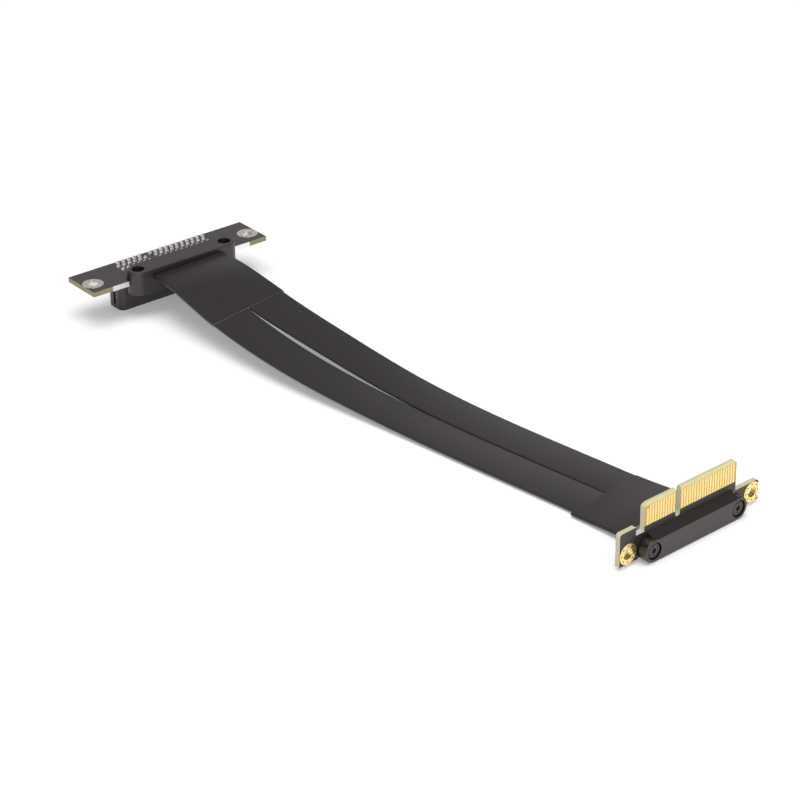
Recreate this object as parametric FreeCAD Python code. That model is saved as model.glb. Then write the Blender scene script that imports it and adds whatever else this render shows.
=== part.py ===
"""Flexible riser for a four-lane expansion card.

A card-edge board stands on its long edge with its contact tab up. Two flat
cable strips run from it to a second board, which lies flat on top of a
vertical card slot whose mouth faces the floor. Millimetres, +Z up, origin at
the middle of the base of the whole part. +Y runs from the card end to the
slot end, and +X along the card from its key side to its far side.
"""
import FreeCAD, Part
import math
import os

V = FreeCAD.Vector

# ---------------------------------------------------------------- contacts
pitch = 1.0             # spacing of neighbouring contacts
contacts_short = 11     # contacts before the key
contacts_long = 21      # contacts after the key
key_step = 3.0          # from the last contact before the key to the first after
key_w = 1.9             # width of the key notch in a card tab
tab_margin = 1.1        # from the outer contacts' centres to the tab's sides
row_near = 1.25         # solder tails of the inner rows, from the slot's middle
row_far = 3.25          # solder tails of the outer rows

# ---------------------------------------------------------------- boards
board_t = 1.57          # both boards are of standard thickness
plate_t = 0.07          # copper and finish on a board's face
bolt_hole_r = 1.6       # M3 clearance
edge_plate_t = 0.25     # finish on a board's edge

# card end
card_x = 8.02           # middle of the card's tab
card_y = -108.94        # front face of the card's board
card_lift = 1.0         # the clamp's bosses hold the board's edge off the floor
card_left = 26.57       # from the tab's middle to the left end
card_right = 26.92      # from the tab's middle to the right end
ear_l_top = 10.9        # top of the left ear above the floor
ear_l_gap = 3.1         # between the tab and the left ear
shoulder_z = 8.69       # floor of the gap beside the tab
ear_r_top = 7.1         # top of the right ear
tab_top = 16.7          # tip of the tab
tab_corner = 0.9        # chamfer at the tab's outer corners
tab_bevel_h = 0.85      # height of the bevel on the tab's tip
tab_bevel_t = 0.35      # depth of that bevel on each face
key_floor = 8.2         # bottom of the key notch's round end
ear_round = 0.8         # rounding of the ears' outer corners
card_inset_l = 3.1      # bolt holes, from the board's ends
card_inset_r = 2.54
card_hole_z = 4.02
card_pad_r = 3.05       # plated ring round each bolt hole
finger_w = 0.7          # gold contact fingers
finger_low = 10.04      # where the fingers start above the floor
finger_high = 15.75     # where they end, below the bevel
finger_short = 0.8      # the sensing finger stops this far short of the others

# slot end
slot_x = -1.60          # middle of the slot
slot_y = 105.86
slot_yaw = -2.99        # the slot lies slightly turned on the floor, degrees
slot_l = 39.0           # moulded body of the slot
slot_w = 7.5
slot_h = 10.9 
slot_round = 1.8        # outer corners of the body
groove_play = 0.12      # clearance on each face of a card in the slot
groove_depth = 8.4
groove_lead = 0.45      # chamfer at the mouth
end_groove_w = 1.1      # upright groove in each end of the body
end_groove_d = 0.8
end_groove_low = 1.3
stand_off = 0.3         # the body's feet hold it off the board by this much
foot_l = 2.2
foot_inset = 0.6
board_l = 64.9
board_back = 4.42       # from the slot's middle to the board's back edge
board_front = -9.87     # and to its front edge
board_shift = -0.45     # the board's middle, from the slot's
slot_inset = 3.3        # bolt holes, from the board's ends
slot_hole_y = -4.31
slot_pad_r = 3.3 
peg_r = 1.15            # locating pegs of the slot's body
peg_fit = 0.04          # clearance round a peg
peg_end_step = 1.65     # the second peg, beyond the last contact
edge_bar_l = 5.8        # plated stretch of the front edge beside each boss

# contact springs
blade_w = 0.5           # width along the slot
blade_t = 0.2           # thickness of the strip
pocket_play = 0.1       # clearance beside a blade
pocket_floor = 0.9      # pockets start above the mouth
pocket_top = 9.5
pocket_out = 3.45       # outer wall of a pocket, from the slot's middle
arm_drop = 3.0          # the arm leaves the pocket's wall this far below its top
tail_play = 0.05        # clearance round a tail
tail_out = 0.8          # tails stand proud of the board
joint_r = 0.66          # solder joint at the board
joint_tip_r = 0.34
joint_h = 0.6

# ---------------------------------------------------------------- clamps
clamp_gap = 32.4        # spacing of the two bosses
clamp_shift = -0.3      # their middle, from the slot's or the tab's
clamp_r = 3.4           # boss radius; the bar's outer side is in line with it
clamp_h = 3.05          # height above a board's face
clamp_in_card = 3.1     # from the bosses' line to the bar's inner side, outer face
clamp_in_slot = 3.8
clamp_slope = 1.5       # the inner side slopes out by this much, down to the board
clamp_wall = 0.9
clamp_edge = 0.35       # rounded edges
clamp_fit = 0.1         # clearance to the board's edges and between shells
bite_play = 0.3         # and round the bosses, in the boards' bites
card_bore_r = 2.5       # opening in the card end's bosses
slot_bore_r = 2.05      # opening in the slot end's bosses
post_gap = 0.42         # gap round a post
post_sink_card = 0.35   # a post's end lies below the boss's face
post_sink_slot = 1.9
dimple_r = 0.75
dimple_d = 0.45
card_back_h = 4.0       # the card end's back shell, behind the board
slot_clamp_y = -9.7     # line of the bosses, from the slot's middle

# ---------------------------------------------------------------- cable
strip_w = 12.4
strip_t = 1.0
strip_step = 12.6       # spacing of the two strips where they lie side by side
cable_rise = 0.73       # the cable's middle above the slot board's top face
wrap_t = 0.2            # sleeve round both strips at each end
wrap_play = 0.05        # clearance inside the sleeve, over the strips
wrap_side = 0.35        # and beside them
slot_wrap_y = -45.0     # the sleeves' ends on the open cable
card_wrap_y = -78.5
conductors = 16         # soldered conductors of each strip
conductor_pitch = 0.72
conductor_w = 0.4
conductor_t = 0.2
land_l = 1.6            # solder lands on the boards
land_w = 0.5
land_room = 0.4         # from the outermost land to the end of the clamp's pocket

slot_cable_z = slot_h + stand_off + board_t + cable_rise

# The cable's route through the middle of both strips, from the slot end to the
# card end, with how far each strip's middle lies to its own side of the route
# and how much the far strip lies above the route and the near one below it.
route = [
    (V(-2.14, 95.46, slot_cable_z), 6.3, 0.0), (V(-2.69, 84.87, slot_cable_z), 6.3, 0.0),
    (V(-3.32, 72.89, 11.80), 6.3, 0.0), (V(-3.95, 60.90, 9.85), 6.3, 0.0),
    (V(-3.75, 46.00, 7.90), 6.8, 0.35), (V(-2.90, 31.00, 6.10), 7.2, 0.6),
    (V(-1.60, 16.00, 4.35), 7.2, 0.5), (V(-0.30, 1.00, 2.90), 6.8, 0.2),
    (V(1.00, -15.00, 1.85), 6.3, 0.0), (V(2.40, -32.00, 1.20), 6.3, 0.0),
    (V(3.90, -50.00, 0.95), 6.3, 0.0), (V(5.50, -68.00, 0.87), 6.3, 0.0),
    (V(6.60, -83.00, 0.92), 6.3, 0.0), (V(7.30, -95.50, 1.90), 6.3, 0.0),
    (V(7.50, -105.80, 1.90), 6.3, 0.0),
]

# ---------------------------------------------------------------- derived
contact_span = (contacts_short - 1) * pitch + key_step + (contacts_long - 1) * pitch
contact_x = [i * pitch - contact_span / 2 for i in range(contacts_short)]
contact_x += [contact_x[-1] + key_step + i * pitch for i in range(contacts_long)]
key_x = contact_x[contacts_short - 1] + key_step / 2
tab_half = contact_span / 2 + tab_margin
ear_l_in = tab_half + ear_l_gap     # inner end of the left ear, from the tab's middle
groove_w = board_t + 2 * groove_play
board_low = slot_h + stand_off
board_top = board_low + board_t
tail_y = [row_near, row_far]
card_cable_z = route[-1][0].z
cable_w = strip_step + strip_w + 2 * wrap_side + 2 * wrap_t
cable_t = strip_t + 2 * wrap_play + 2 * wrap_t


# ---------------------------------------------------------------- helpers
def box(x0, x1, y0, y1, z0, z1):
    """Box between two corners."""
    return Part.makeBox(x1 - x0, y1 - y0, z1 - z0, V(x0, y0, z0))


def rod(x, y, z, r, h, axis=V(0, 0, 1)):
    """Cylinder that starts at a point and runs along an axis."""
    return Part.makeCylinder(r, h, V(x, y, z), axis)


def fuse(shapes):
    return shapes[0].multiFuse(shapes[1:]).removeSplitter()


def cut(shape, tools):
    return shape.cut(Part.makeCompound(tools))


def plate(points, direction):
    """Flat polygon carried straight along a direction."""
    wire = Part.makePolygon(points + points[:1])
    return Part.Face(wire).extrude(direction)


def rounded(shape, radius, wanted):
    """Fillet the edges that a test picks."""
    picked = [e for e in shape.Edges if wanted(e)]
    return shape.makeFillet(radius, picked)


def upright(edge):
    """True for a straight edge along Z."""
    if not isinstance(edge.Curve, Part.Line):
        return False
    return abs(edge.tangentAt(edge.FirstParameter).z) > 0.999


def on_slot(shape):
    """Place a piece of the slot end, made about the slot's middle, on the floor."""
    placed = shape.copy()
    placed.rotate(V(0, 0, 0), V(0, 0, 1), slot_yaw)
    placed.translate(V(slot_x, slot_y, 0))
    return placed


def on_card(shape):
    """Place a piece of the card end, made about the tab's middle and front face."""
    placed = shape.copy()
    placed.translate(V(card_x, card_y, 0))
    return placed


# ---------------------------------------------------------------- slot end
def end_peg_x():
    return contact_x[-1] + peg_end_step


def peg_places():
    return [key_x, end_peg_x()]


def slot_housing():
    """Moulded body: groove for the card, a pocket for each contact, pegs and feet."""
    half_l, half_w = slot_l / 2, slot_w / 2
    body = box(-half_l, half_l, -half_w, half_w, 0, slot_h)
    body = rounded(body, slot_round, upright)
    parts = [body]
    for side in (-1, 1):
        inner = side * (half_l - foot_l)
        outer = side * (half_l - foot_inset)
        low, high = sorted((inner, outer))
        parts.append(box(low, high, -half_w + slot_round, half_w - slot_round,
                         slot_h, board_low))
    parts += [rod(x, 0, slot_h - 1, peg_r, 1 + stand_off + board_t) for x in peg_places()]
    body = fuse(parts)

    half_groove, key_half = groove_w / 2, key_w / 2 - groove_play
    tab_end = tab_half + groove_play
    tools = []
    for x0, x1 in ((-tab_end, key_x - key_half), (key_x + key_half, tab_end)):
        tools.append(box(x0, x1, -half_groove, half_groove, 0, groove_depth))
        lead = half_groove + groove_lead
        mouth = [V(x0, -lead, 0), V(x0, lead, 0), V(x0, half_groove, groove_lead),
                 V(x0, -half_groove, groove_lead)]
        tools.append(plate(mouth, V(x1 - x0, 0, 0)))
    half_pocket = blade_w / 2 + pocket_play
    for i, x in enumerate(contact_x):
        for side in (-1, 1):
            y0, y1 = sorted((side * half_groove, side * pocket_out))
            tools.append(box(x - half_pocket, x + half_pocket, y0, y1,
                             pocket_floor, pocket_top))
            tools.append(tail_hole(x, side * tail_y[i % 2], pocket_top, slot_h))
    for side in (-1, 1):
        x0, x1 = sorted((side * half_l, side * (half_l - end_groove_d)))
        tools.append(box(x0, x1, -end_groove_w / 2, end_groove_w / 2,
                         end_groove_low, slot_h))
    return cut(body, tools)


def tail_hole(x, y, z0, z1):
    """Hole for one solder tail, with its clearance."""
    half_w, half_t = blade_w / 2 + tail_play, blade_t / 2 + tail_play
    return box(x - half_w, x + half_w, y - half_t, y + half_t, z0, z1)


def strip_outline(path, thickness):
    """Closed outline of a strip bent along a path in the YZ plane."""
    left, right = [], []
    for i, point in enumerate(path):
        before = point - path[i - 1] if i else path[1] - point
        after = path[i + 1] - point if i + 1 < len(path) else before
        across = (before.normalize() + after.normalize()).normalize()
        normal = V(0, -across.z, across.y)
        square = V(0, -after.z, after.y)
        reach = thickness / 2 / normal.dot(square)
        left.append(point + normal * reach)
        right.append(point - normal * reach)
    return left + right[::-1]


def slot_contact(x, side, tail):
    """One spring: a bowed arm in the groove, a blade in its pocket and a tail."""
    touch = groove_w / 2 - 0.25
    root = (groove_w / 2 + pocket_out) / 2
    path = [
        V(0, touch + 0.45, pocket_floor + 0.35),
        V(0, touch, pocket_floor + 1.7),
        V(0, root, pocket_top - arm_drop),
        V(0, root, pocket_top - 1.3),
        V(0, tail, pocket_top - 0.35),
        V(0, tail, board_top + tail_out),
    ]
    blade = plate(strip_outline(path, blade_t), V(blade_w, 0, 0))
    if side < 0:
        blade = blade.mirror(V(0, 0, 0), V(0, 1, 0))
    blade.translate(V(x - blade_w / 2, 0, 0))
    return blade


def slot_contacts(side):
    """The springs of one side; neighbours have their tails in different rows."""
    return Part.makeCompound([slot_contact(x, side, tail_y[i % 2])
                              for i, x in enumerate(contact_x)])


def frustum(x, y, z, r0, r1, h, sides):
    """Blunt pyramid with many sides, standing on a face."""
    rings = []
    for r, up in ((r0, 0), (r1, h)):
        turn = [2 * math.pi * (k + 0.5) / sides for k in range(sides)]
        points = [V(x + r * math.cos(a), y + r * math.sin(a), z + up) for a in turn]
        rings.append(Part.makePolygon(points + points[:1]))
    return Part.makeLoft(rings, True, True)


def solder_joints():
    """Solder round each tail on the board's top face."""
    joints = []
    for i, x in enumerate(contact_x):
        for side in (-1, 1):
            y = side * tail_y[i % 2]
            joint = frustum(x, y, board_top, joint_r, joint_tip_r, joint_h, 8)
            half_w, half_t = blade_w / 2, blade_t / 2
            tail = box(x - half_w, x + half_w, y - half_t, y + half_t,
                       board_low, board_top + tail_out)
            joints.append(joint.cut(tail))
    return Part.makeCompound(joints)


def boss_x():
    return [clamp_shift - clamp_gap / 2, clamp_shift + clamp_gap / 2]


def slot_hole_x():
    reach = board_l / 2 - slot_inset
    return [board_shift - reach, board_shift + reach]


def edge_bars(depth):
    """Plated stretches of the front edge, just outside the clamp's bosses."""
    start = clamp_gap / 2 + clamp_r + bite_play
    bars = []
    for side in (-1, 1):
        x0, x1 = sorted((side * start, side * (start + edge_bar_l)))
        x0, x1 = x0 + clamp_shift, x1 + clamp_shift
        bars.append(box(x0, x1, board_front - depth, board_front, board_low, board_top))
    return bars


def slot_board():
    """Board over the slot, with two bites for the clamp's bosses."""
    x0, x1 = board_shift - board_l / 2, board_shift + board_l / 2
    body = box(x0, x1, board_front, board_back, board_low, board_top)
    tools = [rod(x, slot_clamp_y, board_low, clamp_r + bite_play, board_t)
             for x in boss_x()]
    tools += [rod(x, slot_hole_y, board_low, bolt_hole_r, board_t)
              for x in slot_hole_x()]
    tools += [rod(x, 0, board_low, peg_r + peg_fit, board_t) for x in peg_places()]
    for i, x in enumerate(contact_x):
        for side in (-1, 1):
            tools.append(tail_hole(x, side * tail_y[i % 2], board_low, board_top))
    return cut(body, tools)


def face_rings(x, y, z, pad_r, axis):
    """Plated rings round a bolt hole, on both faces of a board."""
    rings = []
    for out in (-plate_t, board_t):
        foot = V(x, y, z) + axis * out
        ring = rod(*foot, pad_r, plate_t, axis)
        rings.append(ring.cut(rod(*foot, bolt_hole_r, plate_t, axis)))
    return rings


def slot_rings():
    rings = []
    for x in slot_hole_x():
        rings += face_rings(x, slot_hole_y, board_low, slot_pad_r, V(0, 0, 1))
    x0, x1 = board_shift - board_l / 2, board_shift + board_l / 2
    inside = box(x0, x1, board_front, board_back, slot_h, board_top + plate_t)
    return Part.makeCompound(rings).common(inside)


# ---------------------------------------------------------------- card end
def card_outline():
    """Outline of the card in its own plane, anticlockwise seen from the front."""
    left, right = -card_left, card_right
    top, c = tab_top, tab_corner
    return [
        V(left, 0, card_lift), V(right, 0, card_lift), V(right, 0, ear_r_top),
        V(tab_half, 0, ear_r_top), V(tab_half, 0, top - c), V(tab_half - c, 0, top),
        V(c - tab_half, 0, top), V(-tab_half, 0, top - c), V(-tab_half, 0, shoulder_z),
        V(-ear_l_in, 0, shoulder_z), V(-ear_l_in, 0, ear_l_top), V(left, 0, ear_l_top),
    ]


def card_bites():
    """Round bites for the clamp's bosses."""
    return [rod(x, 0, clamp_r, clamp_r + bite_play, board_t, V(0, 1, 0))
            for x in boss_x()]


def key_notch():
    """Key notch with a round end."""
    r = key_w / 2
    foot = key_floor + r
    slot = box(key_x - r, key_x + r, 0, board_t, foot, tab_top)
    return slot.fuse(rod(key_x, 0, foot, r, board_t, V(0, 1, 0)))


def tab_bevels():
    """Wedges that thin the tab's tip from both faces."""
    low, high, half = tab_top - tab_bevel_h, tab_top, tab_half + 1
    front = [V(-half, 0, low), V(-half, tab_bevel_t, high), V(-half, -1, high),
             V(-half, -1, low)]
    back = [V(-half, board_t, low), V(-half, board_t + 1, low),
            V(-half, board_t + 1, high), V(-half, board_t - tab_bevel_t, high)]
    return [plate(wedge, V(2 * half, 0, 0)) for wedge in (front, back)]


def shoulder_plate():
    """Plated floor of the gap between the left ear and the tab."""
    return box(-ear_l_in, -tab_half, 0, board_t, shoulder_z - edge_plate_t, shoulder_z)


def card_board():
    """Card-edge board with its ears, tab, key notch and bolt holes."""
    body = plate(card_outline(), V(0, board_t, 0))
    corners = [(-card_left, ear_l_top), (card_right, ear_r_top)]

    def outer_corner(edge):
        p = edge.CenterOfMass
        return any(abs(p.x - x) < 0.01 and abs(p.z - z) < 0.01 for x, z in corners)

    body = rounded(body, ear_round, outer_corner)
    tools = card_bites() + [key_notch(), shoulder_plate()] + tab_bevels()
    tools += [rod(x, 0, card_hole_z, bolt_hole_r, board_t, V(0, 1, 0))
              for x in card_hole_x()]
    return cut(body, tools)


def card_hole_x():
    return [card_inset_l - card_left, card_right - card_inset_r]


def card_rings():
    rings = []
    for x in card_hole_x():
        rings += face_rings(x, 0, card_hole_z, card_pad_r, V(0, 1, 0))
    inside = box(-card_left, card_right, -plate_t, board_t + plate_t, card_lift, tab_top)
    return Part.makeCompound(rings).common(inside)


def fingers(front):
    """Gold fingers on one face; the first on the front is the short sensing one."""
    y0 = -plate_t if front else board_t
    fronts = []
    for i, x in enumerate(contact_x):
        last = not front and i == len(contact_x) - 2
        short = finger_short if (front and i == 0) or last else 0
        fronts.append(box(x - finger_w / 2, x + finger_w / 2, y0, y0 + plate_t,
                          finger_low, finger_high - short))
    return Part.makeCompound(fronts)


# ---------------------------------------------------------------- clamps
# A shell is made with x along the bar, y across it towards the contacts, and z
# out from the board's face, with its bosses on the line y = 0.
def bar_blank(height, inner):
    """Bar between two round bosses, its inner side sloping out to the board."""
    half = clamp_gap / 2
    bosses = [rod(side * half, 0, 0, clamp_r, height) for side in (-1, 1)]
    section = [V(-half, -clamp_r, 0), V(-half, inner + clamp_slope, 0),
               V(-half, inner, height), V(-half, -clamp_r, height)]
    bar = plate(section, V(2 * half, 0, 0))
    tools = [rod(side * half, 0, 0, clamp_r, height) for side in (-1, 1)]
    return fuse(bosses + [cut(bar, tools)])


def outer_rim(edge, height):
    """True for an edge that lies in a shell's outer face."""
    box_ = edge.BoundBox
    return box_.ZMin > height - 0.01


def front_shell(height, inner, bore_r, pocket_h):
    """Shell on the visible face: bored bosses and a pocket for the solder joints."""
    body = bar_blank(height, inner)
    body = rounded(body, clamp_edge, lambda e: outer_rim(e, height))
    half = clamp_gap / 2
    tools = [rod(side * half, 0, 0, bore_r, height) for side in (-1, 1)]
    reach = strip_step / 2 + (conductors - 1) * conductor_pitch / 2 + land_w / 2 + land_room
    tools.append(box(-reach, reach, -clamp_r + clamp_wall, inner - 0.4, 0, pocket_h))
    return cut(body, tools)


def back_shell(height, inner, bore_r, sink, edge_y):
    """Shell on the other face: its bosses rise through the board's bites.

    Past the board's edge it fills the board's thickness, and a post in each
    boss stands in the front shell's bore.
    """
    body = bar_blank(height, inner)
    body = rounded(body, clamp_edge, lambda e: outer_rim(e, height))
    half = clamp_gap / 2
    parts = [body]
    post_r = bore_r - post_gap
    for side in (-1, 1):
        parts.append(rod(side * half, 0, -board_t, clamp_r, board_t))
        post = rod(side * half, 0, -board_t - clamp_h + sink, post_r, clamp_h - sink)
        dimple = rod(side * half, 0, -board_t - clamp_h + sink, dimple_r, dimple_d)
        parts.append(post.cut(dimple))
    lip = box(-half, half, -clamp_r, edge_y - clamp_fit, -board_t, 0)
    parts.append(lip)
    return fuse(parts)


def slot_cable_box():
    """Space that the sleeved cable takes where it enters the slot end's clamp."""
    half, thick = cable_w / 2 + wrap_play, cable_t / 2 + wrap_play
    front = slot_clamp_y - clamp_r
    return box(-half, half, front - 1, board_front - clamp_fit, slot_cable_z - thick,
               slot_cable_z + thick)


def slot_clamp_top():
    shell = front_shell(clamp_h, clamp_in_slot, slot_bore_r, pocket_h=2.1)
    shell.translate(V(clamp_shift, slot_clamp_y, board_top))
    return cut(shell, [slot_cable_box()])


def slot_clamp_bottom():
    shell = back_shell(clamp_h, clamp_in_slot, slot_bore_r, post_sink_slot,
                       board_front - slot_clamp_y)
    shell.rotate(V(0, 0, 0), V(0, 1, 0), 180)
    shell.translate(V(clamp_shift, slot_clamp_y, board_low))
    return cut(shell, [slot_cable_box()])


def card_clamp_front():
    shell = front_shell(clamp_h, clamp_in_card, card_bore_r, pocket_h=1.9)
    shell.rotate(V(0, 0, 0), V(1, 0, 0), 90)
    shell.translate(V(clamp_shift, 0, clamp_r))
    return shell


def card_clamp_back():
    """The back shell of the card end, with its solder pocket and cable opening."""
    shell = back_shell(card_back_h, clamp_in_card, card_bore_r, post_sink_card,
                       card_lift - clamp_r)
    reach = cable_w / 2 + 0.6
    shell = cut(shell, [box(-reach, reach, -clamp_r + clamp_wall, clamp_in_card - 0.4,
                            0, card_back_h - clamp_wall)])
    shell.rotate(V(0, 0, 0), V(1, 0, 0), 90)
    shell.rotate(V(0, 0, 0), V(0, 0, 1), 180)
    shell.translate(V(clamp_shift, board_t, clamp_r))
    half, thick = cable_w / 2 + wrap_play, cable_t / 2 + wrap_play
    middle = route[-1][0].x - card_x
    back = board_t + card_back_h
    opening = box(middle - half, middle + half, back - 2 * clamp_wall, back + 1,
                  card_cable_z - thick, card_cable_z + thick)
    return cut(shell, [opening])


# ---------------------------------------------------------------- cable
def route_wire(points, report=""):
    """Straight runs joined by tangent arcs, each as large as its runs allow."""
    edges, start, radii = [], points[0], []
    for before, corner, after in zip(points, points[1:], points[2:]):
        into = (corner - before).normalize()
        out = (after - corner).normalize()
        turn = into.getAngle(out)
        run = min((corner - before).Length, (after - corner).Length)
        back = 0.45 * run
        radius = back / math.tan(turn / 2)
        radii.append(radius)
        first, last = corner - into * back, corner + out * back
        aim = (out - into).normalize()
        middle = corner + aim * (radius / math.cos(turn / 2) - radius)
        edges.append(Part.LineSegment(start, first).toShape())
        edges.append(Part.Arc(first, middle, last).toShape())
        start = last
    edges.append(Part.LineSegment(start, points[-1]).toShape())
    wire = Part.Wire(edges)
    if report:
        print(f"{report}: length {wire.Length:.1f} mm, radii",
              " ".join(f"{r:.0f}" for r in radii))
    return wire


def swept(points, width, thickness, report=""):
    """Flat section carried along a route, with its width kept level."""
    wire = route_wire(points, report)
    ahead = (points[1] - points[0]).normalize()
    across = ahead.cross(V(0, 0, 1)).normalize()
    up = across.cross(ahead).normalize()
    a, b = across * (width / 2), up * (thickness / 2)
    corners = [points[0] + a + b, points[0] - a + b, points[0] - a - b, points[0] + a - b]
    pipe = Part.BRepOffsetAPI.MakePipeShell(wire)
    pipe.setBiNormalMode(V(0, 0, 1))
    pipe.add(Part.makePolygon(corners + corners[:1]))
    pipe.build()
    pipe.makeSolid()
    solid = pipe.shape()
    if report:
        share = solid.Volume / (width * thickness * wire.Length)
        print(f"{report}: volume over section times length {share:.4f}")
    return solid


def level_side(points, i):
    """Level direction square to a route at one of its points, towards the far strip."""
    before = points[i] - points[i - 1] if i else points[1] - points[0]
    after = points[i + 1] - points[i] if i + 1 < len(points) else before
    along = before.normalize() + after.normalize()
    return V(-along.y, along.x, 0).normalize()


def strip(side, report):
    """One strip; side is 1 for the far one and -1 for the near one."""
    middles = [stop[0] for stop in route]
    points = []
    for i, (middle, apart, lift) in enumerate(route):
        points.append(middle + level_side(middles, i) * (side * apart)
                      + V(0, 0, side * lift))
    return swept(points, strip_w, strip_t, report)


def sleeve(points):
    """Thin sleeve round both strips, along part of the route."""
    outer = swept(points, cable_w, cable_t)
    return outer.cut(swept(points, cable_w - 2 * wrap_t, cable_t - 2 * wrap_t))


def slot_end_sleeve():
    tube = sleeve([stop[0] for stop in route[:5]])
    inside = slot_clamp_y - clamp_r + 1
    return tube.common(on_slot(box(-cable_w, cable_w, slot_wrap_y, inside, 0, 2 * board_top)))


def card_end_sleeve():
    tube = sleeve([stop[0] for stop in route[-4:]])
    inside = card_y + board_t + card_back_h - clamp_wall
    return tube.common(box(-2 * cable_w, 2 * cable_w, inside, card_wrap_y, 0, board_top))


def conductor_x():
    """Places of both strips' conductors across the cable."""
    first = -(conductors - 1) * conductor_pitch / 2
    return [side * strip_step / 2 + first + i * conductor_pitch
            for side in (-1, 1) for i in range(conductors)]


def bent_rows(path):
    """A bent conductor at each place, along a path in the YZ plane."""
    outline = strip_outline(path, conductor_t)
    one = plate(outline, V(conductor_w, 0, 0))
    rows = []
    for x in conductor_x():
        row = one.copy()
        row.translate(V(x - conductor_w / 2, 0, 0))
        rows.append(row)
    return Part.makeCompound(rows)


def slot_conductors():
    """Stripped conductors, from the strips' ends onto the board's lands."""
    start = (route[0][0].y - slot_y) + clamp_fit
    down = board_top + plate_t + conductor_t / 2
    return bent_rows([V(0, start, slot_cable_z), V(0, start + 0.8, down),
                      V(0, start + 0.8 + land_l, down)])


def card_conductors():
    """The same at the card end, bent up along the board's back face."""
    start = route[-1][0].y - card_y - 0.4
    face = board_t + plate_t + conductor_t / 2
    rows = bent_rows([V(0, start, card_cable_z), V(0, face, card_cable_z + 0.5),
                      V(0, face, card_cable_z + 0.5 + land_l)])
    rows.translate(V(route[-1][0].x - card_x, 0, 0))
    return rows


def slot_lands():
    y0 = route[0][0].y - slot_y + 0.9
    return Part.makeCompound([box(x - land_w / 2, x + land_w / 2, y0, y0 + land_l + 0.3,
                                  board_top, board_top + plate_t)
                              for x in conductor_x()])


def card_lands():
    z0 = card_cable_z + 0.4
    shift = route[-1][0].x - card_x
    return Part.makeCompound([box(shift + x - land_w / 2, shift + x + land_w / 2,
                                  board_t, board_t + plate_t, z0, z0 + land_l + 0.3)
                              for x in conductor_x()])


# ---------------------------------------------------------------- export
def build():
    """Every piece by its node's name."""
    return {
        "slot_housing": on_slot(slot_housing()),
        "slot_contacts_front": on_slot(slot_contacts(-1)),
        "slot_contacts_back": on_slot(slot_contacts(1)),
        "slot_solder_joints": on_slot(solder_joints()),
        "slot_board": on_slot(slot_board()),
        "slot_board_rings": on_slot(slot_rings()),
        "slot_board_edge_plating": on_slot(Part.makeCompound(edge_bars(edge_plate_t))),
        "slot_clamp_top": on_slot(slot_clamp_top()),
        "slot_clamp_bottom": on_slot(slot_clamp_bottom()),
        "card_board": on_card(card_board()),
        "card_board_rings": on_card(card_rings()),
        "card_fingers_front": on_card(fingers(True)),
        "card_fingers_back": on_card(fingers(False)),
        "card_shoulder_plating": on_card(shoulder_plate()),
        "card_clamp_front": on_card(card_clamp_front()),
        "card_clamp_back": on_card(card_clamp_back()),
        "slot_solder_lands": on_slot(slot_lands()),
        "slot_conductors": on_slot(slot_conductors()),
        "card_solder_lands": on_card(card_lands()),
        "card_conductors": on_card(card_conductors()),
        "near_strip": strip(-1, "near strip"),
        "far_strip": strip(1, "far strip"),
        "slot_end_sleeve": slot_end_sleeve(),
        "card_end_sleeve": card_end_sleeve(),
    }


os.makedirs("parts", exist_ok=True)
for name, shape in build().items():
    shape.exportStep(f"parts/{name}.step")
    b = shape.optimalBoundingBox(True, False)
    print(f"{name}: {len(shape.Solids)} solids, valid {shape.isValid()},",
          f"x {b.XMin:.2f} {b.XMax:.2f}, y {b.YMin:.2f} {b.YMax:.2f},",
          f"z {b.ZMin:.2f} {b.ZMax:.2f}, {shape.Volume:.1f} mm3")
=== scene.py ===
import math
import bpy
import numpy as np
from mathutils import Matrix, Vector


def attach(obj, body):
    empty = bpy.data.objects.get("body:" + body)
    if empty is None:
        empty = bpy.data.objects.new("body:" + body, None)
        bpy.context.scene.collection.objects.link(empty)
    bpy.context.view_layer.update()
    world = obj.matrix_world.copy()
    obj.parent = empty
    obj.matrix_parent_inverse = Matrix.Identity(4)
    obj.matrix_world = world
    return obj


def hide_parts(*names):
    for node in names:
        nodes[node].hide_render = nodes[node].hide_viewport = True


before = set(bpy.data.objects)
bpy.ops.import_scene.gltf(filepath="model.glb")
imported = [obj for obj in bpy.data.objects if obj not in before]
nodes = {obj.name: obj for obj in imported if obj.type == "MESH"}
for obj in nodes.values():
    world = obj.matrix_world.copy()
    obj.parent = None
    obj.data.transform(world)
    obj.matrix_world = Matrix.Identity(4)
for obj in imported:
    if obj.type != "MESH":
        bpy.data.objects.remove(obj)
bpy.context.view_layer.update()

MM = 0.001


# ---------------------------------------------------------------- materials
def linear(code):
    """sRGB hex to linear red, green, blue and alpha."""
    out = []
    for k in (0, 2, 4):
        c = int(code[k:k + 2], 16) / 255
        out.append(c / 12.92 if c <= 0.04045 else ((c + 0.055) / 1.055) ** 2.4)
    return (*out, 1.0)


def add(tree, kind, links=(), **settings):
    """A node with its settings; links are (input, other node, output)."""
    made = tree.nodes.new("ShaderNode" + kind)
    for key, value in settings.items():
        if key.startswith("in_"):
            made.inputs[int(key[3:])].default_value = value
        else:
            setattr(made, key, value)
    for socket, other, output in links:
        tree.links.new(other.outputs[output], made.inputs[socket])
    return made


# Reflections of plastic, cloth and mask are a little warm.
SHINE_TINT = (1, 0.92, 0.94, 1)


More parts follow.
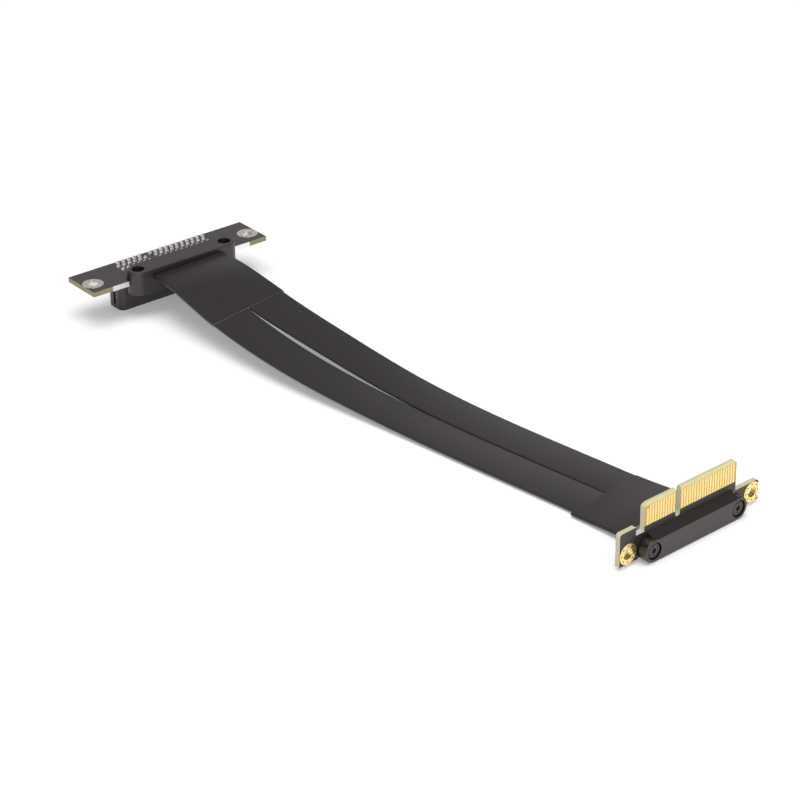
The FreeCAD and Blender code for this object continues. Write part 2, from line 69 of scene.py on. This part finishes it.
def finish_of(name, colour, rough, metal=0.0, ior=1.5):
    """A new material with one Principled surface; returns material, tree and surface."""
    m = bpy.data.materials.new(name)
    m.use_nodes = True
    tree = m.node_tree
    tree.nodes.clear()
    surface = add(tree, "BsdfPrincipled")
    surface.inputs["Base Color"].default_value = linear(colour)
    surface.inputs["Roughness"].default_value = rough
    surface.inputs["Metallic"].default_value = metal
    if not metal:
        surface.inputs["IOR"].default_value = ior
        surface.inputs["Specular Tint"].default_value = SHINE_TINT
    add(tree, "OutputMaterial", [(0, surface, 0)])
    return m, tree, surface


def grain(tree, surface, size_mm, height_mm, detail=3.0, strength=1.0):
    """Fine raised grain; size is the spacing of its lumps and height their rise."""
    place = add(tree, "TexCoord")
    noise = add(tree, "TexNoise", [(0, place, "Object")])
    noise.inputs["Scale"].default_value = 1 / (size_mm * MM)
    noise.inputs["Detail"].default_value = detail
    bump = add(tree, "Bump", [("Height", noise, 0)])
    bump.inputs["Strength"].default_value = strength
    bump.inputs["Distance"].default_value = height_mm * MM
    tree.links.new(bump.outputs[0], surface.inputs["Normal"])
    return noise


def vary(tree, surface, noise, low, high):
    """Roughness wanders between two values with the middle part of a noise."""
    ramp = add(tree, "MapRange", [(0, noise, 0)], in_1=0.35, in_2=0.65, in_3=low, in_4=high)
    tree.links.new(ramp.outputs[0], surface.inputs["Roughness"])


MASK_BLACK = "2C2929"
MASK_GLOSS = 0.34
GOLD_YELLOW = "FFE398"
TIN_GREY = "E4E2DE"
BRONZE_YELLOW = "D9B26A"

# Millimetres on the card: where its mask ends along Z, where the bare tab starts along X,
# and the two heights between which the bevel's tip turns pale, a painted highlight.
MASK_TOP, TAB_LEFT = 9.9, -11.0
BEVEL_FOOT, BEVEL_TIP = 15.7, 15.9
# The contact springs are tinned above this height.
TAIL_FOOT = 11.0


def solder_mask():
    """Black solder mask, screened and cured: an even half-gloss skin over copper."""
    m, tree, s = finish_of("black_solder_mask", MASK_BLACK, MASK_GLOSS, ior=1.52)
    noise = grain(tree, s, 0.5, 0.004, 2.0, 0.6)
    vary(tree, s, noise, 0.30, 0.40)
    return m


def tab_face():
    """The card's faces: solder mask below, bare glass-epoxy round the fingers and a
    paler tone at the routed bevel's tip, which is a painted highlight."""
    m, tree, s = finish_of("card_faces", MASK_BLACK, MASK_GLOSS, ior=1.52)
    place = add(tree, "TexCoord")
    up = add(tree, "SeparateXYZ", [(0, place, "Object")])
    high = add(tree, "Math", [(0, up, 2)], operation="GREATER_THAN",
               in_1=MASK_TOP * MM)
    inner = add(tree, "Math", [(0, up, 0)], operation="GREATER_THAN",
                in_1=TAB_LEFT * MM)
    bare = add(tree, "Math", [(0, high, 0), (1, inner, 0)], operation="MULTIPLY")
    mix = add(tree, "Mix", [(0, bare, 0)], data_type="RGBA")
    # Towards the tip the bare laminate turns paler: a painted highlight on the bevel.
    tip = add(tree, "MapRange", [(0, up, 2)], in_1=BEVEL_FOOT * MM,
              in_2=BEVEL_TIP * MM)
    pale = add(tree, "Mix", [(0, tip, 0)], data_type="RGBA")
    # D6B266 is the bare laminate; E6DFA2 at the tip is painted highlight.
    pale.inputs[6].default_value = linear("D6B266")
    pale.inputs[7].default_value = linear("E6DFA2")
    mix.inputs[6].default_value = linear(MASK_BLACK)
    tree.links.new(pale.outputs[2], mix.inputs[7])
    tree.links.new(mix.outputs[2], s.inputs["Base Color"])
    rough = add(tree, "MapRange", [(0, bare, 0)], in_3=MASK_GLOSS, in_4=0.5)
    tree.links.new(rough.outputs[0], s.inputs["Roughness"])
    return m


def laminate(name, low, high):
    """Glass-epoxy laminate, routed: a yellow-green edge, mottled between two tones."""
    m, tree, s = finish_of(name, high, 0.6)
    place = add(tree, "TexCoord")
    noise = add(tree, "TexNoise", [(0, place, "Object")])
    noise.inputs["Scale"].default_value = 1 / (0.35 * MM)
    mix = add(tree, "Mix", [(0, noise, 0)], data_type="RGBA")
    mix.inputs[6].default_value = linear(low)
    mix.inputs[7].default_value = linear(high)
    tree.links.new(mix.outputs[2], s.inputs["Base Color"])
    return m


def hard_gold():
    """Hard gold over nickel, plated: warm, bright and a little brushed."""
    m, tree, s = finish_of("hard_gold", GOLD_YELLOW, 0.24, metal=1.0)
    noise = grain(tree, s, 0.6, 0.003, 2.0, 0.5)
    vary(tree, s, noise, 0.18, 0.32)
    return m


def levelled_tin():
    """Hot-air levelled tin: bright, with soft hollows where it froze."""
    m, tree, s = finish_of("levelled_tin", TIN_GREY, 0.28, metal=1.0)
    noise = grain(tree, s, 0.9, 0.02, 1.0, 0.8)
    vary(tree, s, noise, 0.22, 0.38)
    return m


# Vias, in millimetres: how far from the bolt hole, their radius (painted dark as painted
# shade) and half their soft edge.
VIA_R, VIA_HOLE, VIA_SOFT = 2.35, 0.22, 0.06
VIA_STEP = math.radians(45)


def with_vias(material, metal):
    """A plated ring with eight small drilled vias round its bolt hole.

    The ring's own place is in millimetres from the hole. A turn of 45 degrees folds the
    ring onto one via at (VIA_R, 0), which is painted dark inside VIA_HOLE: painted shade for
    the via's hole.
    """
    m = material.copy()
    m.name = material.name + "_ring"
    tree = m.node_tree
    s = next(n for n in tree.nodes if n.type == "BSDF_PRINCIPLED")
    place = add(tree, "Attribute", attribute_name="from_hole")
    flat = add(tree, "SeparateXYZ", [(0, place, 1)])
    angle = add(tree, "Math", [(0, flat, 1), (1, flat, 0)], operation="ARCTAN2")
    turn = add(tree, "Math", [(0, angle, 0)], operation="PINGPONG", in_1=VIA_STEP / 2)
    far = add(tree, "VectorMath", [(0, place, 1)], operation="LENGTH")
    c = add(tree, "Math", [(0, turn, 0)], operation="COSINE")
    n = add(tree, "Math", [(0, turn, 0)], operation="SINE")
    x = add(tree, "Math", [(0, far, 1), (1, c, 0)], operation="MULTIPLY")
    y = add(tree, "Math", [(0, far, 1), (1, n, 0)], operation="MULTIPLY")
    folded = add(tree, "CombineXYZ", [(0, x, 0), (1, y, 0)])
    gap = add(tree, "VectorMath", [(0, folded, 0)], operation="DISTANCE",
              in_1=(VIA_R, 0, 0))
    hole = add(tree, "MapRange", [(0, gap, 1)], in_1=VIA_HOLE - VIA_SOFT,
               in_2=VIA_HOLE + VIA_SOFT, in_3=1.0, in_4=0.0)
    mix = add(tree, "Mix", [(0, hole, 0)], data_type="RGBA")
    mix.inputs[6].default_value = linear(metal)
    # Dark brown inside each via: painted shade where the hole is.
    mix.inputs[7].default_value = linear("2A2622")
    tree.links.new(mix.outputs[2], s.inputs["Base Color"])
    return m


def edge_tin():
    """Tinned copper over a board's routed edge: a pale, rather dull strip."""
    m, tree, s = finish_of("edge_tin", "FDFBF8", 0.5, metal=1.0)
    grain(tree, s, 0.5, 0.01, 1.0, 0.6)
    return m


def solder():
    """Wave-soldered tin alloy: bright round fillets."""
    m, tree, s = finish_of("solder", "FFFEFC", 0.36, metal=1.0)
    grain(tree, s, 0.3, 0.01, 1.0, 0.5)
    return m


def spring_bronze():
    """Phosphor-bronze strip, stamped: gold at the contact, tinned at the tail."""
    m, tree, s = finish_of("spring_bronze", BRONZE_YELLOW, 0.3, metal=1.0)
    place = add(tree, "TexCoord")
    up = add(tree, "SeparateXYZ", [(0, place, "Object")])
    tinned = add(tree, "Math", [(0, up, 2)], operation="GREATER_THAN",
                 in_1=TAIL_FOOT * MM)
    mix = add(tree, "Mix", [(0, tinned, 0)], data_type="RGBA")
    mix.inputs[6].default_value = linear(BRONZE_YELLOW)
    mix.inputs[7].default_value = linear("EDECE8")
    tree.links.new(mix.outputs[2], s.inputs["Base Color"])
    return m


def glass_nylon(name, colour, rough):
    """Glass-filled nylon, moulded: black with a fine even grain and broad dull lights."""
    m, tree, s = finish_of(name, colour, rough, ior=1.68)
    noise = grain(tree, s, 0.25, 0.008, 3.0, 0.8)
    vary(tree, s, noise, rough - 0.05, rough + 0.06)
    return m


def jacket_cloth():
    """Conductive cloth tape over a shielded ribbon: dull, dark, faintly woven."""
    m, tree, s = finish_of("jacket_cloth", "1D1A1B", 0.42, ior=1.6)
    s.inputs["Sheen Weight"].default_value = 0.15
    s.inputs["Sheen Roughness"].default_value = 0.4
    noise = grain(tree, s, 0.3, 0.015, 3.0, 0.7)
    vary(tree, s, noise, 0.38, 0.46)
    return m


def cut_edge_highlight():
    """Cut end of the tape, painted pale grey: a painted highlight that draws the lit hair
    line along it.
    """
    return finish_of("tape_end_highlight", "9A9495", 0.6)[0]


def sleeve_cloth():
    """Acetate cloth tape, wound once: a little smoother than the ribbons under it."""
    m, tree, s = finish_of("sleeve_cloth", "1F1C1D", 0.42, ior=1.57)
    s.inputs["Sheen Weight"].default_value = 0.1
    s.inputs["Sheen Roughness"].default_value = 0.4
    noise = grain(tree, s, 0.35, 0.012, 3.0, 0.7)
    vary(tree, s, noise, 0.38, 0.46)
    return m


MASK = solder_mask()
TAB_FACE = tab_face()
LAMINATE = laminate("card_laminate_edge", "C2BE92", "DEDABF")
SLOT_LAMINATE = laminate("slot_laminate_edge", "86835A", "A6A385")
GOLD = hard_gold()
TIN = levelled_tin()
EDGE_TIN = edge_tin()
SOLDER = solder()
BRONZE = spring_bronze()
HOUSING = glass_nylon("slot_nylon", "262222", 0.42)
CLAMP = glass_nylon("card_clamp_nylon", "1C1818", 0.34)
SLOT_CLAMP = glass_nylon("slot_clamp_nylon", "1F1C1C", 0.42)
JACKET = jacket_cloth()
SLEEVE = sleeve_cloth()
# The tape's pale grey cut end is a painted highlight, not the tape's own colour.
CUT_EDGE_HIGHLIGHT = cut_edge_highlight()
GOLD_RING = with_vias(GOLD, GOLD_YELLOW)
TIN_RING = with_vias(TIN, TIN_GREY)

# Bolt holes, in millimetres: on the slot board along X and Y, on the card along X and Z.
SLOT_HOLES = ((-31.385, 103.10), (26.836, 100.059))
CARD_HOLES = ((-15.45, 4.02), (32.40, 4.02))


# A face is an edge where its normal leans further than this from the board's axis, and a
# hole's wall where its middle lies within so many millimetres of the hole's.
EDGE_LEAN, BORE_REACH = 0.7, 1.7


def dress(name, material):
    """A CAD node takes one material."""
    mesh = nodes[name].data
    mesh.materials.clear()
    mesh.materials.append(material)


def from_holes(points, holes, axes):
    """Place of each point in millimetres from the nearest hole: argmin of |p - h|."""
    flat = points[:, axes] / MM
    away = flat[:, None] - np.array(holes)[None]
    near = np.linalg.norm(away, axis=2).argmin(axis=1)
    return away[np.arange(len(flat)), near]


def dress_board(name, axis, face, holes, plating, edge_face):
    """Faces square to an axis take the solder mask, the bolt holes' walls the plating
    and the routed edges the laminate."""
    mesh = nodes[name].data
    mesh.materials.clear()
    for material in (face, edge_face, plating):
        mesh.materials.append(material)
    count = len(mesh.polygons)
    normals, middles = np.zeros(count * 3), np.zeros(count * 3)
    mesh.polygons.foreach_get("normal", normals)
    mesh.polygons.foreach_get("center", middles)
    edge = np.abs(normals.reshape(-1, 3)[:, axis]) < EDGE_LEAN
    axes = [k for k in (0, 1, 2) if k != axis]
    away = from_holes(middles.reshape(-1, 3), holes, axes)
    bore = edge & (np.linalg.norm(away, axis=1) < BORE_REACH)
    mesh.polygons.foreach_set("material_index", (edge + 1 * bore).astype(np.int32))


def dress_rings(name, axis, holes, material):
    """A node of rings takes a material that reads each point's place from its hole."""
    dress(name, material)
    mesh = nodes[name].data
    points = np.zeros(len(mesh.vertices) * 3)
    mesh.vertices.foreach_get("co", points)
    axes = [k for k in (0, 1, 2) if k != axis]
    away = from_holes(points.reshape(-1, 3), holes, axes)
    place = mesh.attributes.new("from_hole", "FLOAT_VECTOR", "POINT")
    place.data.foreach_set("vector", np.pad(away, ((0, 0), (0, 1))).ravel())


for name in ("slot_contacts_front", "slot_contacts_back"):
    dress(name, BRONZE)
for name in ("card_fingers_front", "card_fingers_back"):
    dress(name, GOLD)
for name in ("slot_solder_lands", "card_solder_lands", "slot_conductors",
             "card_conductors"):
    dress(name, TIN)
for name in ("slot_board_edge_plating", "card_shoulder_plating"):
    dress(name, EDGE_TIN)
for name in ("card_clamp_front", "card_clamp_back"):
    dress(name, CLAMP)
for name in ("slot_clamp_top", "slot_clamp_bottom"):
    dress(name, SLOT_CLAMP)
dress("slot_solder_joints", SOLDER)
dress("slot_housing", HOUSING)
dress_board("slot_board", 2, MASK, SLOT_HOLES, TIN, SLOT_LAMINATE)
dress_board("card_board", 1, TAB_FACE, CARD_HOLES, GOLD, LAMINATE)
dress_rings("slot_board_rings", 2, SLOT_HOLES, TIN_RING)
dress_rings("card_board_rings", 1, CARD_HOLES, GOLD_RING)

# ---------------------------------------------------------------- cable
STRIP_W, STRIP_T, STRIP_TAPER = 13.0 * MM, 1.0 * MM, 0.4 * MM
# Steps between two control points, and every how many steps a cord's path has a point.
SPAN_STEPS, PATH_STEP = 14, 4

# The route through the middle of both ribbons, from the slot end to the card end, with
# how far the near and the far ribbon lie to their sides, how much higher than the middle
# the far one lies and lower the near one, the wraps' tilt and what both ribbons add to it,
# in millimetres and degrees.
ROUTE = [
    (-2.14, 95.46, 13.50, 6.55, 6.55, 0.00, 0.0, 0.0),
    (-2.69, 84.87, 13.50, 6.55, 6.55, 0.00, 2.0, 0.0),
    (-3.32, 72.89, 11.80, 6.55, 6.55, 0.00, 5.5, 0.0),
    (-3.95, 60.90, 9.85, 6.60, 6.60, 0.00, 7.5, 0.0),
    (-3.75, 46.00, 7.90, 7.10, 6.75, 0.30, 5.0, 0.5),
    (-2.90, 31.00, 6.05, 7.50, 6.75, 0.50, 2.5, 1.5),
    (-1.60, 16.00, 4.10, 7.40, 6.60, 0.50, 0.5, 2.0),
    (-0.30, 1.00, 2.60, 7.05, 6.40, 0.30, 0.0, 1.0),
    (1.00, -15.00, 1.60, 6.70, 6.35, 0.20, 0.0, 0.5),
    (2.40, -32.00, 1.10, 6.60, 6.42, 0.12, 0.0, 0.0),
    (3.90, -50.00, 1.00, 6.60, 6.45, 0.10, 0.0, 0.0),
    (5.50, -68.00, 0.97, 6.60, 6.55, 0.06, 0.0, 0.0),
    (6.60, -83.00, 1.00, 6.60, 6.55, 0.00, 0.8, 0.0),
    (7.30, -95.50, 1.85, 6.55, 6.55, 0.00, 1.2, 0.0),
    (7.50, -105.80, 1.90, 6.55, 6.55, 0.00, 0.0, 0.0),
]
ROUTE = np.array(ROUTE)
ROUTE[:, :6] *= MM
ROUTE[:, 6:] = np.radians(ROUTE[:, 6:])


def smooth_run(points, per_span):
    """Quadratic B-spline on a list of control points.

    Each control point P pulls one parabola between the middles A and B of its two
    sides: (1-t)^2 A + 2t(1-t) P + t^2 B. The line starts and ends at the end points.
    """
    middles = (points[:-1] + points[1:]) / 2
    a = np.vstack([points[:1], middles[1:-1]])
    b = np.vstack([middles[1:-1], points[-1:]])
    p = points[1:-1]
    t = np.linspace(0, 1, per_span, endpoint=False)[None, :, None]
    run = (1 - t) ** 2 * a[:, None] + 2 * t * (1 - t) * p[:, None] + t ** 2 * b[:, None]
    return np.vstack([run.reshape(-1, points.shape[1]), points[-1:]])


def unit(v):
    """v / |v|, row by row."""
    return v / np.linalg.norm(v, axis=-1, keepdims=True)


def flat_frame(line, tilt):
    """Width and thickness directions along a line.

    The width is level and square to the line, then turned about it by the tilt.
    """
    along = unit(np.gradient(line, axis=0))
    level = unit(np.cross([0.0, 0.0, 1.0], along))
    up = np.cross(along, level)
    c, s = np.cos(tilt)[:, None], np.sin(tilt)[:, None]
    return level * c + up * s, up * c - level * s


def flat_section(width, thick, taper, count=8):
    """Flat band with thinned edges, as (across, up) pairs, anticlockwise.

    Each side is half an ellipse as high as the band and twice the taper wide, on a
    flat middle: across = side * (width/2 - taper) + taper cos a, up = thick/2 sin a.
    """
    a = np.linspace(-np.pi / 2, np.pi / 2, 2 * count)
    flat = width / 2 - taper
    right_side = np.stack([flat + taper * np.cos(a), thick / 2 * np.sin(a)], 1)
    return np.vstack([right_side, -right_side])


def new_piece(name, points, faces, material):
    """Mesh object at the origin that rides on the one body; its four-sided faces are
    shaded smooth and its end caps flat."""
    mesh = bpy.data.meshes.new(name)
    mesh.from_pydata(points.tolist(), [], faces)
    mesh.materials.append(material)
    mesh.polygons.foreach_set("use_smooth", [len(f) == 4 for f in faces])
    mesh.update()
    made = bpy.data.objects.new(name, mesh)
    bpy.context.scene.collection.objects.link(made)
    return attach(made, "root")


def grid_faces(rows, ring):
    """Quads of a closed ring carried along rows, with the two ends closed."""
    i = np.arange(rows - 1)[:, None] * ring
    j = np.arange(ring)[None, :]
    k = (j + 1) % ring
    quads = np.stack([i + j, i + k, i + ring + k, i + ring + j], -1).reshape(-1, 4)
    first = list(range(ring))
    last = [(rows - 1) * ring + q for q in range(ring)]
    return quads.tolist() + [first[::-1], last]


def carried(name, line, across, up, section, material):
    """A flat section carried along a line: line + across * x + up * y."""
    points = (line[:, None] + across[:, None] * section[None, :, :1]
              + up[:, None] * section[None, :, 1:])
    rows, ring = points.shape[:2]
    return new_piece(name, points.reshape(-1, 3), grid_faces(rows, ring), material)


run = smooth_run(ROUTE, SPAN_STEPS)
middle, apart, lift, tilt = run[:, :3], run[:, 3:5], run[:, 5:6], run[:, 6:]
across, up = flat_frame(middle, tilt[:, 0])
own_across, own_up = flat_frame(middle, tilt.sum(axis=1))


for side, name, label in ((-1, "near_strip", "near_ribbon"), (1, "far_strip", "far_ribbon")):
    away = apart[:, :1] if side < 0 else apart[:, 1:]
    line = middle + side * across * away + side * lift * np.array([0, 0, 1.0])
    piece = carried(label, line, own_across, own_up,
                    flat_section(STRIP_W, STRIP_T, STRIP_TAPER), JACKET)
    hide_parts(name)


# Rounding of the wraps' long edges, and how far along its first and last step a wrap has
# one more ring, which keeps the smooth shading off the corner.
WRAP_ROUND, END_RING = 0.45, 0.02
# Each wrap: node, name, where along Y it lies, its thickness, what its cut ends take (at the
# slot end a painted highlight), and its width and sideways shift at four places along Y.
WRAPS = (
    # The slot end's cut faces take the painted highlight.
    ("slot_end_sleeve", "slot_end_wrap", (60.9, 94.0), 1.26, CUT_EDGE_HIGHLIGHT,
     (60.9, 70.0, 88.0, 94.0), (26.9, 26.6, 26.2, 26.2), (0.1, 0.0, 0.0, 0.0)),
    ("card_end_sleeve", "card_end_wrap", (-104.3, -79.2), 1.08, SLEEVE,
     (-104.3, -102.5, -97.0, -79.2), (26.2, 27.4, 28.2, 27.8), (0.0, -0.3, -0.7, -0.6)),
)
for node_name, label, ends, thick, end_face, marks, widths, shifts in WRAPS:
    y = middle[:, 1] / MM
    keep = (y > ends[0]) & (y < ends[1])
    width = np.interp(y[keep], marks, widths)[:, None, None] * MM
    shift = np.interp(y[keep], marks, shifts)[:, None] * MM
    flat = flat_section(1.0, thick * MM, 0.0)
    round_part = flat_section(0.0, thick * MM, WRAP_ROUND * MM)
    x = np.sign(flat[:, 0]) * (width[:, :, 0] / 2) + round_part[:, 0]
    points = ((middle[keep] + across[keep] * shift)[:, None]
              + across[keep][:, None] * x[:, :, None]
              + up[keep][:, None] * flat[None, :, 1:])
    first = (1 - END_RING) * points[:1] + END_RING * points[1:2]
    last = (1 - END_RING) * points[-1:] + END_RING * points[-2:-1]
    points = np.concatenate([points[:1], first, points[1:-1], last, points[-1:]])
    rows, ring = points.shape[:2]
    piece = new_piece(label, points.reshape(-1, 3), grid_faces(rows, ring), SLEEVE)
    # The cut ends take end_face, which at the slot end is the painted highlight.
    piece.data.materials.append(end_face)
    for cap in (-2, -1):
        piece.data.polygons[cap].material_index = 1
    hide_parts(node_name)

# ---------------------------------------------------------------- post ends
# Raised rims on the ends of the posts that hold the card end's two clamp shells.
POSTS = ((-8.48, 3.40), (23.92, 3.40))
POST_FACE, RIM_R, RIM_W, RIM_H = -111.64, 1.62, 0.55, 0.16
# Points round a rim and over its back.
RIM_ROUND, RIM_OVER = 40, 7


def turned_rim(x, z):
    """A low ring about the Y axis at (x, z).

    Points: r = RIM_R + RIM_W/2 cos b outward and RIM_H sin b forward, b from 0 to pi,
    turned through a full circle.
    """
    a = np.linspace(0, 2 * np.pi, RIM_ROUND, endpoint=False)[:, None]
    b = np.linspace(0, np.pi, RIM_OVER)[None, :]
    r = RIM_R + RIM_W / 2 * np.cos(b) + 0 * a
    y = POST_FACE - RIM_H * np.sin(b) + 0 * a
    return np.stack([x + r * np.cos(a), y, z + r * np.sin(a)], -1) * MM


def rim_faces(count, ring, start):
    """Quads of an open band of count by ring points, closed round its count."""
    i, j = np.meshgrid(np.arange(count), np.arange(ring - 1), indexing="ij")
    n = (i + 1) % count
    quads = np.stack([i * ring + j, n * ring + j, n * ring + j + 1, i * ring + j + 1], -1)
    return (quads.reshape(-1, 4) + start).tolist()


rims = [turned_rim(*place) for place in POSTS]
rim_list = [q for k in range(len(POSTS))
            for q in rim_faces(RIM_ROUND, RIM_OVER, k * RIM_ROUND * RIM_OVER)]
new_piece("card_post_rims", np.vstack([q.reshape(-1, 3) for q in rims]), rim_list, CLAMP)

# ---------------------------------------------------------------- studio
scene = bpy.context.scene
scene.view_settings.view_transform = "Standard"
FLOOR_SIZE, FLOOR_DROP = 8.0, 0.0001
PAPER_GLOW = 0.23
FAR_SIDE = (0.66, 0.75, 0)
ROOM_TINT = (1, 0.955, 0.965, 1)
ORIGIN = (0, 0, 0)


def flat_sheet(name, size, material):
    """Level square sheet round the origin."""
    mesh = bpy.data.meshes.new(name)
    h = size / 2
    mesh.from_pydata([(-h, -h, 0), (h, -h, 0), (h, h, 0), (-h, h, 0)], [], [(0, 1, 2, 3)])
    mesh.materials.append(material)
    made = bpy.data.objects.new(name, mesh)
    scene.collection.objects.link(made)
    return made


# White paper. Seen by the camera, in a reflection or through a clear part it has a little
# light of its own, so that it is white outside the object's shadow.
paper, paper_tree, paper_face = finish_of("studio_paper", "F2F2F2", 1.0)
paper_face.inputs["Specular IOR Level"].default_value = 0.0
sight = add(paper_tree, "LightPath")
seen = add(paper_tree, "Math", [(0, sight, 0), (1, sight, 3)], operation="MAXIMUM")
seen = add(paper_tree, "Math", [(0, seen, 0), (1, sight, 6)], operation="MAXIMUM")
glow = add(paper_tree, "Math", [(0, seen, 0)], operation="MULTIPLY", in_1=PAPER_GLOW)
paper_face.inputs["Emission Color"].default_value = (1, 1, 1, 1)
paper_tree.links.new(glow.outputs[0], paper_face.inputs["Emission Strength"])
floor = flat_sheet("floor", FLOOR_SIZE, paper)
floor.location.z = -FLOOR_DROP

world = bpy.data.worlds.new("soft_room")
scene.world = world
world.use_nodes = True
world.node_tree.nodes.clear()
# The room is light near the horizon, most of all at its far side, and dim overhead.
room = world.node_tree
gaze = add(room, "TexCoord")
height = add(room, "SeparateXYZ", [(0, gaze, "Generated")])
fade = add(room, "MapRange", [(0, height, 2)], in_1=0.28, in_2=0.60, in_3=1.0, in_4=0.16)
fade.interpolation_type = "SMOOTHSTEP"
toward = add(room, "VectorMath", [(0, gaze, "Generated")], operation="DOT_PRODUCT",
             in_1=FAR_SIDE)
wall = add(room, "MapRange", [(0, toward, 1)], in_1=-0.1, in_2=0.8, in_3=0.62, in_4=0.95)
level = add(room, "Math", [(0, fade, 0), (1, wall, 0)], operation="MULTIPLY")
sky = add(room, "Background", [(1, level, 0)])
sky.inputs[0].default_value = ROOM_TINT
add(room, "OutputWorld", [(0, sky, 0)])


def softbox(name, place, aim, size, power):
    """Square lamp that looks at a point; size in metres and power in watts."""
    data = bpy.data.lights.new(name, "AREA")
    data.size = size
    data.energy = power
    made = bpy.data.objects.new(name, data)
    scene.collection.objects.link(made)
    made.location = place
    made.rotation_mode = "QUATERNION"
    made.rotation_quaternion = (Vector(aim) - Vector(place)).to_track_quat("-Z", "Y")


softbox("overhead", (-0.30, -0.30, 2.7), ORIGIN, 2.2, 60.0)
softbox("front_fill", (-1.1, -2.2, 0.9), ORIGIN, 1.5, 15.0)

# ---------------------------------------------------------------- camera
# Where it stands, and how far it is turned from +Y, looks down and is rolled.
EYE = Vector((-0.457447, -0.520739, 0.368352))
YAW, DOWN, ROLL = math.radians(41.453), math.radians(27.903), math.radians(-0.613)
SENSOR_WIDTH, FOCAL_LENGTH = 36.0, 121.8
ahead = Vector((math.cos(DOWN) * math.sin(YAW), math.cos(DOWN) * math.cos(YAW),
                -math.sin(DOWN)))
right = ahead.cross(Vector((0, 0, 1))).normalized()
above = right.cross(ahead)
right, above = (right * math.cos(ROLL) + above * math.sin(ROLL),
                above * math.cos(ROLL) - right * math.sin(ROLL))
lens = bpy.data.cameras.new("camera")
lens.sensor_width, lens.lens = SENSOR_WIDTH, FOCAL_LENGTH
lens.clip_start = 0.01
camera = bpy.data.objects.new("camera", lens)
scene.collection.objects.link(camera)
camera.matrix_world = Matrix.Translation(EYE) @ Matrix(
    (right, above, -ahead)).transposed().to_4x4()
scene.camera = camera
